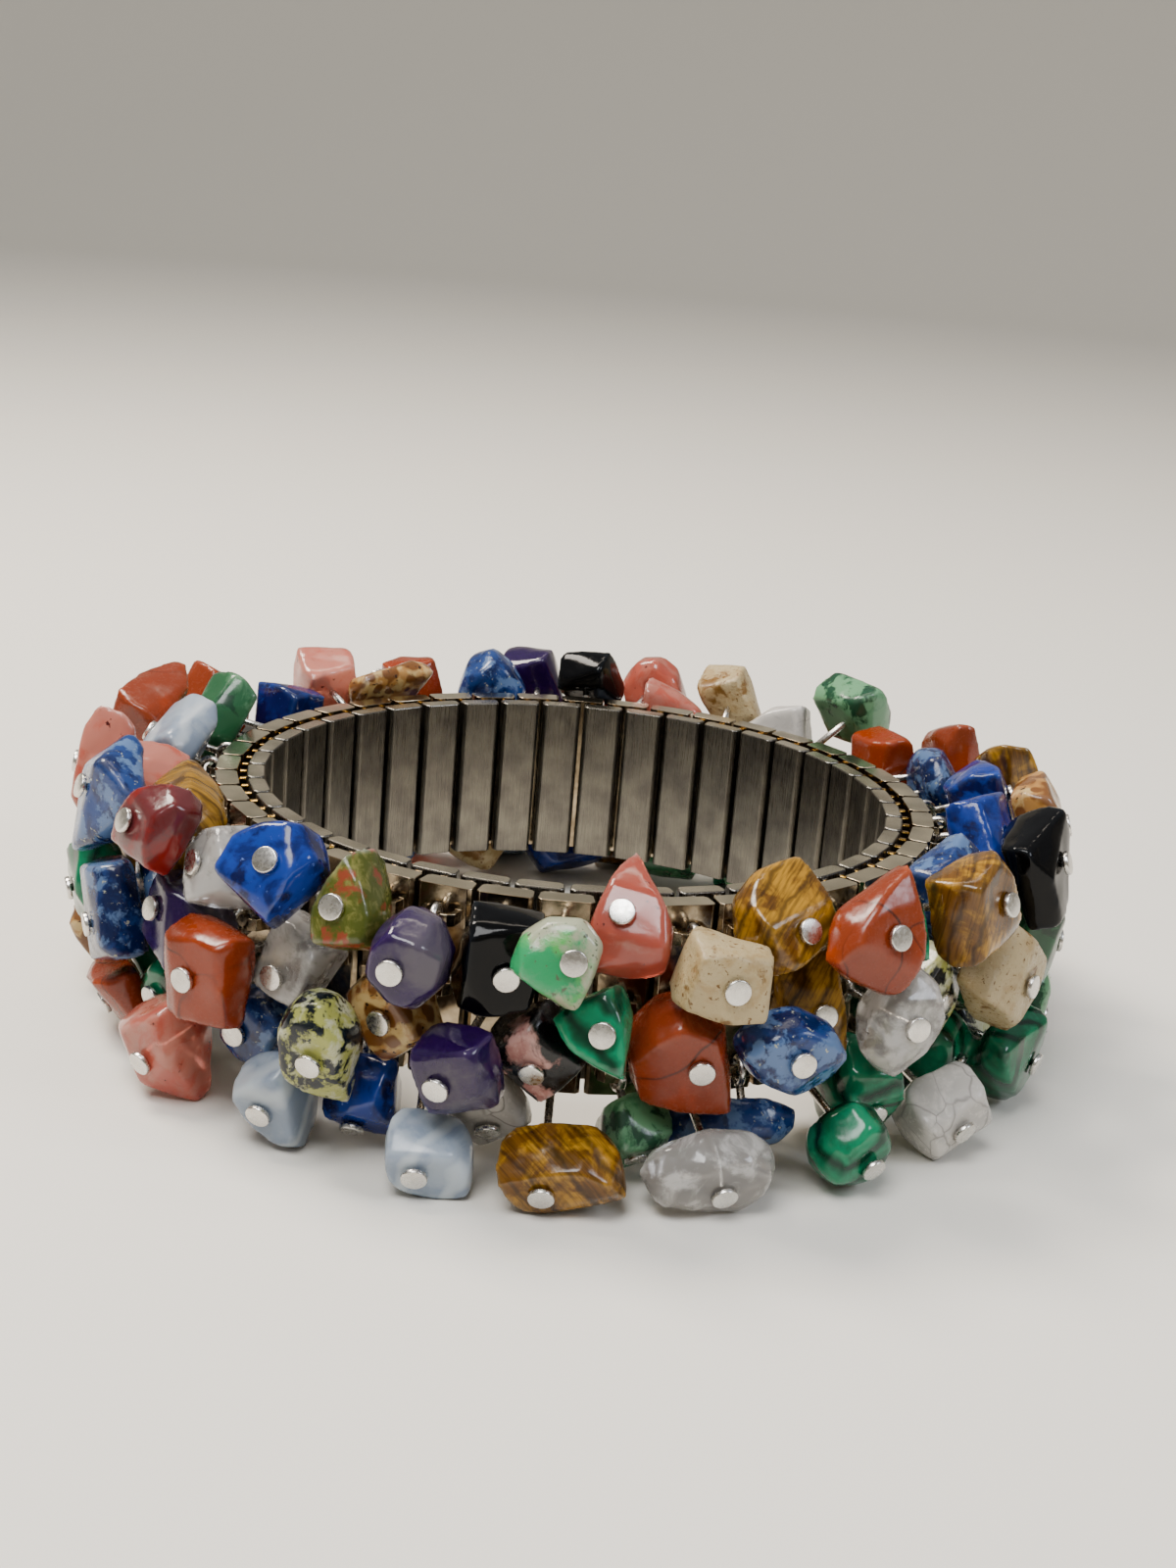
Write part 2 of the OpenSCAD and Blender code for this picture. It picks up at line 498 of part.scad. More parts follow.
// Strap bent out from the link's face, with an upright eye for a pin's loop
module lug() {
    depth = lug_eye + lug_wall;
    half_w = lug_w / 2;
    half_eye = half_w - lug_wall;
    translate([outer_r1, 0, -lug_h / 2])
        linear_extrude(height = lug_h)
            difference() {
                polygon([
                    [-root, -half_w],
                    [depth - lug_corner, -half_w],
                    [depth, -half_w + lug_corner],
                    [depth, half_w - lug_corner],
                    [depth - lug_corner, half_w],
                    [-root, half_w],
                ]);
                polygon([
                    [0, -half_eye],
                    [lug_eye - lug_fillet, -half_eye],
                    [lug_eye, -half_eye + lug_fillet],
                    [lug_eye, half_eye - lug_fillet],
                    [lug_eye - lug_fillet, half_eye],
                    [0, half_eye],
                ]);
            }
}

// One outer link, its three lugs soldered on
module outer_link() {
    translate([0, 0, raise])
        linear_extrude(height = band_h)
            link_plan(outer_r0, outer_r1, outer_gap);
    for (z = lug_z)
        translate([0, 0, z])
            lug();
}

module outer_links() {
    color("#d8d2c4")
        for (i = [0:links - 1])
            rotate([0, 0, (i + 0.5) * pitch])
                outer_link();
}

inner_links();
outer_links();
head_pins();
red_jasper_chips();
lapis_chips();
sodalite_chips();
amethyst_chips();
clear_quartz_chips();
rose_quartz_chips();
tiger_eye_chips();
aventurine_chips();
malachite_chips();
obsidian_chips();
carnelian_chips();
leopard_jasper_chips();
fossil_jasper_chips();
howlite_chips();
rhodonite_chips();
unakite_chips();
blue_agate_chips();
dendritic_agate_chips();
chrysoprase_chips();
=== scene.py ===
"""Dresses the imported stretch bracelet: its box links, its head pins and nineteen sorts of tumbled stone."""

import logging
import math
from dataclasses import dataclass
from enum import Enum
from random import Random
from typing import Optional

import bmesh
import bpy
from mathutils import Matrix, Vector, noise


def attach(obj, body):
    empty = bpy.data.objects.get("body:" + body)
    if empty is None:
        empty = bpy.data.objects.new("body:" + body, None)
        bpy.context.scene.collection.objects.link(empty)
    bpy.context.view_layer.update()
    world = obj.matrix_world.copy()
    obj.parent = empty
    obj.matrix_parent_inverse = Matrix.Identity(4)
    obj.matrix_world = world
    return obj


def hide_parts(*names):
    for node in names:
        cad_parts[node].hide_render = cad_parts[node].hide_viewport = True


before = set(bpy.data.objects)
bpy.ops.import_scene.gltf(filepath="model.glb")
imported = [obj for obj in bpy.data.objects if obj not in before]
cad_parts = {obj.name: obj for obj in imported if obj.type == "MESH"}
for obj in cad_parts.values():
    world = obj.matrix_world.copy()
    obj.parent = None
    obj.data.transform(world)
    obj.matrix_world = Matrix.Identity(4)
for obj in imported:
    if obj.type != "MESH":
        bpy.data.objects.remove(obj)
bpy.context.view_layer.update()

LOG = logging.getLogger("bracelet")
MM = 0.001
# Vertices of a CAD mesh closer than this are one corner
WELD = 0.002 * MM


def linear(code: str) -> tuple[float, float, float, float]:
    """Turns an sRGB hex colour into the linear values that shaders take.

    Args:
        code: Six hex digits after a hash.

    Returns:
        Red, green, blue and a full alpha.
    """
    parts = [int(code[k : k + 2], 16) / 255 for k in (1, 3, 5)]
    red, green, blue = [c / 12.92 if c <= 0.04045 else ((c + 0.055) / 1.055) ** 2.4 for c in parts]
    return red, green, blue, 1.0


def add_node(
    tree: bpy.types.NodeTree,
    kind: str,
    links: Optional[dict[int | str, bpy.types.NodeSocket]] = None,
    values: Optional[dict[int | str, object]] = None,
    **settings: object,
) -> bpy.types.Node:
    """Adds one shader node with its settings, socket values and links.

    Args:
        tree: The node tree that takes the node.
        kind: Blender's name for the node, without its ShaderNode prefix.
        links: Input socket to the output socket that feeds it.
        values: Input socket to the value set on it.
        **settings: Properties of the node itself.

    Returns:
        The new node.
    """
    made = tree.nodes.new("ShaderNode" + kind)
    for name, value in settings.items():
        setattr(made, name, value)
    for socket, value in (values or {}).items():
        made.inputs[socket].default_value = value
    for socket, source in (links or {}).items():
        tree.links.new(source, made.inputs[socket])
    return made


def piece_from(bm: bmesh.types.BMesh, name: str, material: bpy.types.Material) -> bpy.types.Object:
    """Turns a bmesh into a smooth-shaded object at the origin.

    Args:
        bm: The finished shape, freed here.
        name: The piece's name.
        material: Its finish.

    Returns:
        The new object, linked to the scene.
    """
    mesh = bpy.data.meshes.new(name)
    bm.to_mesh(mesh)
    bm.free()
    for face in mesh.polygons:
        face.use_smooth = True
    made = bpy.data.objects.new(name, mesh)
    made.data.materials.append(material)
    bpy.context.scene.collection.objects.link(made)
    return made


def settle(piece: bpy.types.Object, replaced: Optional[str] = None) -> None:
    """Ties a piece to the frame and reports it.

    Args:
        piece: The finished piece.
        replaced: The CAD node that it stands for, if any.
    """
    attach(piece, "root")
    if replaced:
        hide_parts(replaced)
    LOG.info("%s: %d faces", piece.name, len(piece.data.polygons))


def welded_copy(node: str) -> bmesh.types.BMesh:
    """Copies a CAD node's mesh and welds its loose triangles together."""
    bm = bmesh.new()
    bm.from_mesh(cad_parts[node].data)
    bmesh.ops.remove_doubles(bm, verts=bm.verts, dist=WELD)
    return bm


def loose_parts(bm: bmesh.types.BMesh) -> list[list[bmesh.types.BMVert]]:
    """Sorts the vertices of a mesh into its separate solids.

    Args:
        bm: The mesh to sort.

    Returns:
        One list of vertices for each solid.
    """
    bm.verts.ensure_lookup_table()
    seen: set[int] = set()
    parts = []
    for start in bm.verts:
        if start.index in seen:
            continue
        seen.add(start.index)
        part, queue = [], [start]
        while queue:
            vert = queue.pop()
            part.append(vert)
            for edge in vert.link_edges:
                other = edge.other_vert(vert)
                if other.index not in seen:
                    seen.add(other.index)
                    queue.append(other)
        parts.append(part)
    return parts


def add_turned(bm: bmesh.types.BMesh, line: list[Vector], axis: str, steps: int, closed: bool) -> None:
    """Adds the surface that a line of points leaves as it turns once round an axis.

    Args:
        bm: The mesh that takes the surface.
        line: The points, in order.
        axis: X, Y or Z, through the origin.
        steps: How many strips make the whole turn.
        closed: Whether the line's last point joins its first.
    """
    turns = [Matrix.Rotation(math.tau * k / steps, 3, axis) for k in range(steps)]
    rows = [[bm.verts.new(turn @ point) for point in line] for turn in turns]
    for k, row in enumerate(rows):
        before = rows[k - 1]
        for i in range(0 if closed else 1, len(line)):
            bm.faces.new((before[i], row[i], row[i - 1], before[i - 1]))


class Pattern(Enum):
    """What runs through a stone, over its clouds."""

    CRACKS = "fine cracks or veins between grains"
    BANDS = "wavy bands"
    FIBRES = "silky fibres in broad bands"
    SPOTS = "round spots"
    PATCHES = "grown patches"
    WISPS = "thin milky wisps"


@dataclass(frozen=True)
class Mineral:
    """One sort of stone and how tumbling leaves it."""

    name: str
    base: str
    cloud: str
    mark: str
    pattern: Pattern
    # Size of the clouds and of the pattern on the stone
    cloud_mm: float
    mark_mm: float
    # Share of the stone that clouds and marks take, and how far that share differs from stone to stone
    cloudy: float = 0.5
    variety: float = 0.14
    marked: float = 0.3
    # Small flecks of another mineral: colour, size and share
    fleck: str = "#ffffff"
    fleck_mm: float = 0.5
    flecked: float = 0.0
    # Painted highlight on the ridges: the colour of the paler ridges and its share
    edge: str = "#ffffff"
    ridge_highlight_share: float = 0.15
    # The polish: its roughness, and the strength of its mirror-like shine
    rough: float = 0.17
    shine: float = 0.4
    # Share of the light that passes clear through the stone
    clarity: float = 0.0
    # Share of the light that goes into the stone and comes out again near by, and how near
    glow: float = 0.0
    glow_mm: float = 1.2
    # Refractive index of quartz, which most of the stones are or come near to
    ior: float = 1.54
    # Strength of the pits and seams that polishing leaves, their depth, and the grit's share in them
    pits: float = 0.05
    pit_mm: float = 0.2
    gritty: float = 0.2
    # Rounds of smoothing: few for a hard chip with crisp ridges, many for a pebble
    tumbling: int = 4
    # Half the width of a cloud's soft edge, as a part of its noise
    cloud_edge: float = 0.09
    # Shade of the darkest and of the palest chip
    shades: tuple[float, float] = (0.78, 1.15)
    # Polish of the smoothest and of the dullest spot, against the roughness above
    polish: tuple[float, float] = (0.6, 1.6)
    # Thickness, length and width of one silky layer of fibres; a real fibre is too fine to show
    fibre_mm: tuple[float, float, float] = (0.2, 7.0, 2.4)

    def material(self) -> bpy.types.Material:
        """Builds the stone's material on its own coordinates, so that each chip is cut from another place.

        Returns:
            The finished material.
        """
        made = bpy.data.materials.new(self.name)
        made.use_nodes = True
        tree = made.node_tree
        tree.nodes.clear()
        place = add_node(tree, "Attribute", attribute_name="stone_place").outputs["Vector"]
        tone = add_node(tree, "Attribute", attribute_name="stone_tone").outputs["Fac"]
        ridge_highlight = add_node(tree, "Attribute", attribute_name="stone_ridge_highlight").outputs["Fac"]
        clouds = add_node(
            tree,
            "TexNoise",
            {"Vector": place},
            {"Scale": 1 / (self.cloud_mm * MM), "Detail": 7.0, "Roughness": 0.62, "Distortion": 0.5},
        ).outputs["Fac"]
        own_clouds = add_node(
            tree, "Math", {0: tone, 2: clouds}, {1: self.variety}, operation="MULTIPLY_ADD"
        ).outputs[0]
        middle = 0.5 + 0.3 * (0.5 - self.cloudy) + self.variety / 2
        share = add_node(
            tree,
            "MapRange",
            {"Value": own_clouds},
            {"From Min": middle - self.cloud_edge, "From Max": middle + self.cloud_edge},
            interpolation_type="SMOOTHSTEP",
        ).outputs["Result"]
        marks = self._marks(tree, place)
        body = add_node(
            tree, "Mix", {0: share}, {6: linear(self.base), 7: linear(self.cloud)}, data_type="RGBA"
        ).outputs[2]
        colour = add_node(
            tree, "Mix", {0: marks, 6: body}, {7: linear(self.mark)}, data_type="RGBA"
        ).outputs[2]
        grit = add_node(
            tree,
            "TexNoise",
            {"Vector": place},
            {"Scale": 1 / (self.fleck_mm * MM), "Detail": 4.0, "Roughness": 0.6},
        ).outputs["Fac"]
        if self.flecked:
            flecks = add_node(
                tree,
                "MapRange",
                {"Value": grit},
                {"From Min": 0.68 - 0.2 * self.flecked, "From Max": 0.73 - 0.2 * self.flecked},
            ).outputs["Result"]
            colour = add_node(
                tree, "Mix", {0: flecks, 6: colour}, {7: linear(self.fleck)}, data_type="RGBA"
            ).outputs[2]
        # Paler ridges where the surface bends most: a painted highlight
        ridge_highlight_mix = add_node(tree, "Math", {0: ridge_highlight}, {1: self.ridge_highlight_share}, operation="MULTIPLY").outputs[0]
        colour = add_node(
            tree, "Mix", {0: ridge_highlight_mix, 6: colour}, {7: linear(self.edge)}, data_type="RGBA"
        ).outputs[2]
        darkest, palest = self.shades
        shade = add_node(
            tree, "MapRange", {"Value": tone}, {"To Min": darkest, "To Max": palest}
        ).outputs["Result"]
        colour = add_node(tree, "HueSaturation", {"Value": shade, "Color": colour}).outputs["Color"]
        relief = add_node(tree, "Mix", {0: marks, 2: grit}, {3: self.gritty}, data_type="FLOAT").outputs[0]
        bump = add_node(
            tree, "Bump", {"Height": relief}, {"Strength": self.pits, "Distance": self.pit_mm * MM}
        ).outputs["Normal"]
        smoothest, dullest = self.polish
        dull = add_node(
            tree,
            "MapRange",
            {"Value": grit},
            {
                "From Min": 0.3,
                "From Max": 0.7,
                "To Min": self.rough * smoothest,
                "To Max": self.rough * dullest,
            },
        ).outputs["Result"]
        shader = add_node(
            tree,
            "BsdfPrincipled",
            {"Base Color": colour, "Normal": bump, "Roughness": dull},
            {
                "IOR": self.ior,
                "Transmission Weight": self.clarity,
                "Subsurface Weight": self.glow,
                "Subsurface Scale": self.glow_mm * MM,
                # Red light goes a little deeper than blue
                "Subsurface Radius": (1.0, 0.8, 0.7),
                "Specular IOR Level": self.shine,
            },
        )
        add_node(tree, "OutputMaterial", {"Surface": shader.outputs["BSDF"]})
        return made

    def _marks(self, tree: bpy.types.NodeTree, place: bpy.types.NodeSocket) -> bpy.types.NodeSocket:
        """Draws the mineral's own pattern as a share from 0 to 1.

        Args:
            tree: The material's nodes.
            place: The stone's coordinates.

        Returns:
            The socket that gives the pattern's share.
        """
        size = self.mark_mm * MM
        push = add_node(
            tree, "TexNoise", {"Vector": place}, {"Scale": 0.6 / size, "Detail": 3.0}
        ).outputs["Color"]
        bent = add_node(
            tree, "VectorMath", {0: push, 2: place}, {1: (size, size, size)}, operation="MULTIPLY_ADD"
        ).outputs[0]
        # Each pattern's texture, with its output, settings and values, and the range of it that is drawn
        kind, output, settings, values, drawn = {
            Pattern.CRACKS: (
                "TexVoronoi",
                "Distance",
                {"feature": "DISTANCE_TO_EDGE"},
                {"Scale": 1 / size},
                {"From Min": 0.004, "From Max": 0.01 + 0.14 * self.marked, "To Min": 0.85, "To Max": 0.0},
            ),
            Pattern.BANDS: (
                "TexWave",
                "Fac",
                {"wave_type": "BANDS"},
                {
                    "Scale": 0.32 / size,
                    "Distortion": 1.5,
                    "Detail": 3.0,
                    "Detail Scale": 1.2,
                    "Detail Roughness": 0.6,
                },
                {"From Min": 0.8 - 0.7 * self.marked, "From Max": 1.0},
            ),
            Pattern.FIBRES: (
                "TexWave",
                "Fac",
                {"wave_type": "BANDS"},
                {"Scale": 0.3 / size, "Distortion": 1.2, "Detail": 2.0, "Detail Scale": 0.8},
                {"From Min": 0.84, "From Max": 1.0, "To Max": 0.75},
            ),
            Pattern.SPOTS: (
                "TexVoronoi",
                "Distance",
                {"feature": "SMOOTH_F1"},
                {"Scale": 1 / size, "Randomness": 1.0},
                {
                    "From Min": 0.1 + 0.5 * self.marked,
                    "From Max": 0.2 + 0.5 * self.marked,
                    "To Min": 1.0,
                    "To Max": 0.0,
                },
            ),
            Pattern.PATCHES: (
                "TexNoise",
                "Fac",
                {},
                {"Scale": 0.7 / size, "Detail": 6.0, "Roughness": 0.6},
                {"From Min": 0.61 - 0.24 * self.marked, "From Max": 0.67 - 0.24 * self.marked},
            ),
            Pattern.WISPS: (
                "TexNoise",
                "Fac",
                {"noise_type": "RIDGED_MULTIFRACTAL"},
                {"Scale": 0.6 / size, "Detail": 5.0, "Roughness": 0.55},
                {"From Min": 1.25 - 0.6 * self.marked, "From Max": 1.75, "To Max": 0.85},
            ),
        }[self.pattern]
        texture = add_node(tree, kind, {"Vector": bent}, values, **settings).outputs[output]
        marks = add_node(tree, "MapRange", {"Value": texture}, drawn).outputs["Result"]
        if self.pattern is Pattern.FIBRES:
            # The fibres themselves run straight, across the bands
            layers = tuple(1 / (side * MM) for side in self.fibre_mm)
            straight = add_node(tree, "Mapping", {"Vector": place}, {"Scale": layers}).outputs["Vector"]
            silk = add_node(
                tree, "TexNoise", {"Vector": straight}, {"Scale": 1.0, "Detail": 2.0}
            ).outputs["Fac"]
            shades = add_node(
                tree,
                "MapRange",
                {"Value": silk},
                {"From Min": 0.42, "From Max": 0.62, "To Max": self.marked},
            ).outputs["Result"]
            return add_node(tree, "Math", {0: marks, 1: shades}, operation="MAXIMUM").outputs[0]
        if self.pattern in (Pattern.CRACKS, Pattern.WISPS):
            # Thin lines fade out here and there
            fading = add_node(tree, "TexNoise", {"Vector": bent}, {"Scale": 0.9 / size}).outputs["Fac"]
            showing = add_node(
                tree, "MapRange", {"Value": fading}, {"From Min": 0.42, "From Max": 0.58}
            ).outputs["Result"]
            return add_node(tree, "Math", {0: marks, 1: showing}, operation="MULTIPLY").outputs[0]
        return marks


@dataclass
class StoneBore:
    """Where one stone hangs: its lug, the line of its pin and how far out its head stands."""

    lug: Vector
    line: Vector
    head: float


@dataclass
class LinkBand:
    """The expansion band: sizes that the pins and lugs need, and its two rows of links."""

    links: int = 42
    lug_ring: float = 32.6 * MM
    lug_heights: tuple[float, ...] = (18.1 * MM, 12.6 * MM, 7.1 * MM)
    edge: float = 0.12 * MM
    # Radius past which an inner link is clip leg and no longer plate
    clip_start: float = 28.62 * MM
    # Faces larger than this are flat plate, the rest are rounded edges
    flat_area: float = 0.12 * MM * MM

    def lugs(self) -> list[Vector]:
        """Lists the centres of all lugs' eyes."""
        turn = math.tau / self.links
        across = [
            (self.lug_ring * math.cos((k + 0.5) * turn), self.lug_ring * math.sin((k + 0.5) * turn))
            for k in range(self.links)
        ]
        return [Vector((x, y, height)) for x, y in across for height in self.lug_heights]

    def build_row(self, node: str, material: bpy.types.Material) -> None:
        """Breaks the edges of one row of links.

        Args:
            node: The row's CAD node.
            material: Its finish.
        """
        bm = welded_copy(node)
        bmesh.ops.dissolve_limit(bm, angle_limit=math.radians(1), verts=bm.verts, edges=bm.edges)
        sharp = [e for e in bm.edges if e.is_manifold and e.calc_face_angle(0) > math.radians(20)]
        bmesh.ops.bevel(
            bm,
            geom=sharp,
            offset=self.edge,
            offset_type="OFFSET",
            affect="EDGES",
            segments=2,
            profile=0.5,
            material=-1,
            clamp_overlap=True,
        )
        gilt = bm.verts.layers.float.new("clip_gilt")
        if node == "inner_links":
            for vert in bm.verts:
                vert[gilt] = float(vert.co.xy.length > self.clip_start)
        piece = piece_from(bm, node + "_dressed", material)
        for face in piece.data.polygons:
            face.use_smooth = face.area < self.flat_area
        settle(piece, node)


@dataclass
class Chips:
    """All chips of one mineral."""

    node: str
    mineral: Mineral
    seed: int
    # Net of the finished surface, which is also the finest edge that it can hold
    voxel: float = 0.3 * MM
    # Clear ring round the pin, where no facet is cut, so that the head keeps its seat
    seat: float = 1.15 * MM
    # A facet less deep than this isn't cut
    least_cut: float = 0.08 * MM
    # Soft swells that tumbling leaves on a facet: half their height, spacing, how much of them lies below the
    # facet, and the most that one may stand out
    swell: float = 0.075 * MM
    swell_spacing: float = 2.6 * MM
    swell_sink: float = 0.25
    swell_limit: float = 0.03 * MM
    # How strongly the bend of a ridge counts towards the painted ridge highlight, and the level that still
    # gives none
    ridge_highlight_gain: float = 11.0
    ridge_highlight_start: float = 0.2
    # A chip whose solid reaches lower than this stands on the surface
    standing: float = 0.05 * MM
    # Radius of the drilled hole, the distance from its line within which a corner is one of its rims, and the
    # fewest corners that a rim has
    hole: float = 0.47 * MM
    rim_catch: float = 0.75 * MM
    rim_corners: int = 12
    # The farthest that a chip's middle hangs from its lug
    hang: float = 11 * MM
    # Space between the hole's rim and the head that stops there
    head_gap: float = 0.1 * MM

    def build(self, band: LinkBand) -> list[StoneBore]:
        """Cuts facets on each chip, rounds it and dresses the lot.

        Args:
            band: The band that carries the chips.

        Returns:
            Where each of the chips hangs.
        """
        draw = Random(self.seed)
        lugs = band.lugs()
        raw = welded_copy(self.node)
        bores = []
        rough = bmesh.new()
        floors = []
        for part in loose_parts(raw):
            corners = [vert.co.copy() for vert in part]
            bore = self._bore(corners, lugs)
            bores.append(bore)
            floors.append(min(c.z for c in corners))
            self._cut(rough, corners, bore, draw)
        raw.free()
        shaped = self._round(rough)
        self._dress(shaped, bores, floors, draw)
        piece = piece_from(shaped, self.node + "_tumbled", self.mineral.material())
        settle(piece, self.node)
        return bores

    def _bore(self, corners: list[Vector], lugs: list[Vector]) -> StoneBore:
        """Finds the pin's line through one drilled chip.

        Args:
            corners: The chip's corners, the hole's rims among them.
            lugs: The centres of all lugs.

        Returns:
            The chip's lug, line and head.
        """
        middle = sum(corners, Vector()) / len(corners)
        best: Optional[tuple[float, StoneBore]] = None
        for lug in lugs:
            if (middle - lug).length > self.hang:
                continue
            line = (middle - lug).normalized()
            for _ in range(3):
                rim = [c for c in corners if self._off_line(c, lug, line) < self.rim_catch]
                if len(rim) < self.rim_corners:
                    break
                line = (sum(rim, Vector()) / len(rim) - lug).normalized()
            if len(rim) < 2 * self.rim_corners:
                continue
            miss = max(abs(self._off_line(c, lug, line) - self.hole) for c in rim)
            if best is None or miss < best[0]:
                end = max((c - lug).dot(line) for c in rim)
                best = (miss, StoneBore(lug, line, end + self.head_gap))
        assert best is not None
        return best[1]

    @staticmethod
    def _off_line(point: Vector, lug: Vector, line: Vector) -> float:
        """Measures how far a point lies from the line that leaves a lug."""
        return ((point - lug) - line * (point - lug).dot(line)).length

    def _cut(self, into: bmesh.types.BMesh, corners: list[Vector], bore: StoneBore, draw: Random) -> None:
        """Adds one chip's hull, with its flat facets cut.

        Args:
            into: The mesh that takes the chip.
            corners: The chip's corners.
            bore: The chip's hole, round which nothing is cut.
            draw: The source of the facets' directions and depths.
        """
        bm = bmesh.new()
        for corner in corners:
            bm.verts.new(corner)
        bmesh.ops.convex_hull(bm, input=bm.verts)
        bmesh.ops.delete(bm, geom=[v for v in bm.verts if not v.link_faces], context="VERTS")
        side = bore.line.orthogonal().normalized()
        other = bore.line.cross(side)
        near = min((c - bore.lug).dot(bore.line) for c in corners)
        ring = [side * math.cos(k * math.tau / 12) + other * math.sin(k * math.tau / 12) for k in range(12)]
        seats = [
            bore.lug + bore.line * reach + out * self.seat for reach in (near, bore.head) for out in ring
        ]
        for lean, turn, share in self._facets(bm, side, other, bore, draw):
            around = side * math.cos(turn) + other * math.sin(turn)
            out = around * math.cos(lean) + bore.line * math.sin(lean)
            reach = max(v.co.dot(out) for v in bm.verts)
            least = max(p.dot(out) for p in seats)
            height = reach + (least - reach) * share
            if reach - height < self.least_cut:
                continue
            cut = bmesh.ops.bisect_plane(
                bm,
                geom=bm.verts[:] + bm.edges[:] + bm.faces[:],
                dist=0.001 * MM,
                plane_co=out * height,
                plane_no=out,
                clear_outer=True,
            )
            rim = [e for e in cut["geom_cut"] if isinstance(e, bmesh.types.BMEdge)]
            bmesh.ops.contextual_create(bm, geom=rim)
        bmesh.ops.recalc_face_normals(bm, faces=bm.faces)
        mesh = bpy.data.meshes.new("chip")
        bm.to_mesh(mesh)
        bm.free()
        into.from_mesh(mesh)
        bpy.data.meshes.remove(mesh)

    @staticmethod
    def _facets(
        bm: bmesh.types.BMesh, side: Vector, other: Vector, bore: StoneBore, draw: Random
    ) -> list[tuple[float, float, float]]:
        """Chooses where one chip's facets lie.

        Args:
            bm: The chip's hull.
            side: A direction across the pin.
            other: The direction across both.
            bore: The chip's hole.
            draw: The source of the facets' directions and depths.

        Returns:
            For each facet its lean along the pin and its turn round it, in radians, and which share of the
            way from the hull to the seats it is cut.
        """
        steps = 32
        turns = [k * math.tau / steps for k in range(steps)]
        spread = [
            max((v.co - bore.lug).dot(side * math.cos(t) + other * math.sin(t)) for v in bm.verts)
            for t in turns
        ]
        narrow_sides = [
            turn
            for k, turn in enumerate(turns)
            if spread[k] <= spread[k - 1] and spread[k] <= spread[(k + 1) % steps]
        ]
        start = draw.uniform(0, math.tau)
        # Two facets on the far end and one on the near end, then a shallow one on most of the narrow sides
        facets = [
            (math.radians(draw.uniform(58, 74)), start, draw.uniform(0.75, 1.0)),
            (math.radians(draw.uniform(50, 68)), start + draw.uniform(1.8, 3.4), draw.uniform(0.5, 1.0)),
            (math.radians(draw.uniform(-74, -56)), draw.uniform(0, math.tau), draw.uniform(0.4, 0.9)),
        ]
        for turn in narrow_sides:
            if draw.random() < 0.75:
                facets.append((math.radians(draw.uniform(-22, 26)), turn, draw.uniform(0.05, 0.22)))
        return facets

    def _round(self, rough: bmesh.types.BMesh) -> bmesh.types.BMesh:
        """Rebuilds the cut chips as an even net and rounds it, as tumbling does.

        Args:
            rough: The cut chips, freed here.

        Returns:
            The rounded chips.
        """
        mesh = bpy.data.meshes.new("rough")
        rough.to_mesh(mesh)
        rough.free()
        block = bpy.data.objects.new("rough", mesh)
        bpy.context.scene.collection.objects.link(block)
        net = block.modifiers.new("net", "REMESH")
        net.mode = "VOXEL"
        net.voxel_size = self.voxel
        evaluated = block.evaluated_get(bpy.context.evaluated_depsgraph_get())
        shaped = bmesh.new()
        shaped.from_mesh(evaluated.to_mesh())
        evaluated.to_mesh_clear()
        bpy.data.objects.remove(block)
        bpy.data.meshes.remove(mesh)
        for _ in range(self.mineral.tumbling):
            bmesh.ops.smooth_vert(
                shaped, verts=shaped.verts, factor=0.5, use_axis_x=True, use_axis_y=True, use_axis_z=True
            )
        return shaped

    def _dress(
        self, shaped: bmesh.types.BMesh, bores: list[StoneBore], floors: list[float], draw: Random
    ) -> None:
        """Swells the facets, seats the chips that stand on the surface and stores what the material reads.

        Args:
            shaped: The rounded chips.
            bores: Where each chip hangs.
            floors: How low each chip's solid reaches.
            draw: The source of each chip's own turn and tone.
        """
        place = shaped.verts.layers.float_vector.new("stone_place")
        tone = shaped.verts.layers.float.new("stone_tone")
        ridge_highlight_layer = shaped.verts.layers.float.new("stone_ridge_highlight")
        bent = shaped.verts.layers.float.new("stone_bend")
        shaped.normal_update()
        for part in loose_parts(shaped):
            middle = sum((v.co for v in part), Vector()) / len(part)
            # The pin that goes through the chip passes nearest to its middle, and its lug isn't far
            nearest = min(
                range(len(bores)),
                key=lambda k: self._off_line(middle, bores[k].lug, bores[k].line)
                + 0.2 * (middle - bores[k].lug).length,
            )
            axis = Vector((draw.gauss(0, 1), draw.gauss(0, 1), draw.gauss(0, 1)))
            turn = Matrix.Rotation(draw.uniform(0, math.tau), 3, axis)
            away = Vector((draw.uniform(-1, 1), draw.uniform(-1, 1), draw.uniform(-1, 1)))
            own_tone = draw.random()
            for vert in part:
                bend = [1 - vert.normal.dot(e.other_vert(vert).normal) for e in vert.link_edges]
                vert[bent] = sum(bend) / len(bend)
                vert[place] = turn @ (vert.co - middle) + away
                vert[tone] = own_tone
            # How much the surface bends round a corner sets the painted highlight on its ridge
            for vert in part:
                around = [e.other_vert(vert)[bent] for e in vert.link_edges]
                ridge_highlight = (vert[bent] + sum(around)) / (1 + len(around)) * self.ridge_highlight_gain - self.ridge_highlight_start
                vert[ridge_highlight_layer] = min(1.0, max(0.0, ridge_highlight))
            for vert in part:
                swell = noise.noise(vert[place] / self.swell_spacing) - self.swell_sink
                vert.co += vert.normal * min(swell * self.swell * 2, self.swell_limit)
            if floors[nearest] < self.standing:
                low = min(v.co.z for v in part)
                for vert in part:
                    vert.co.z -= low


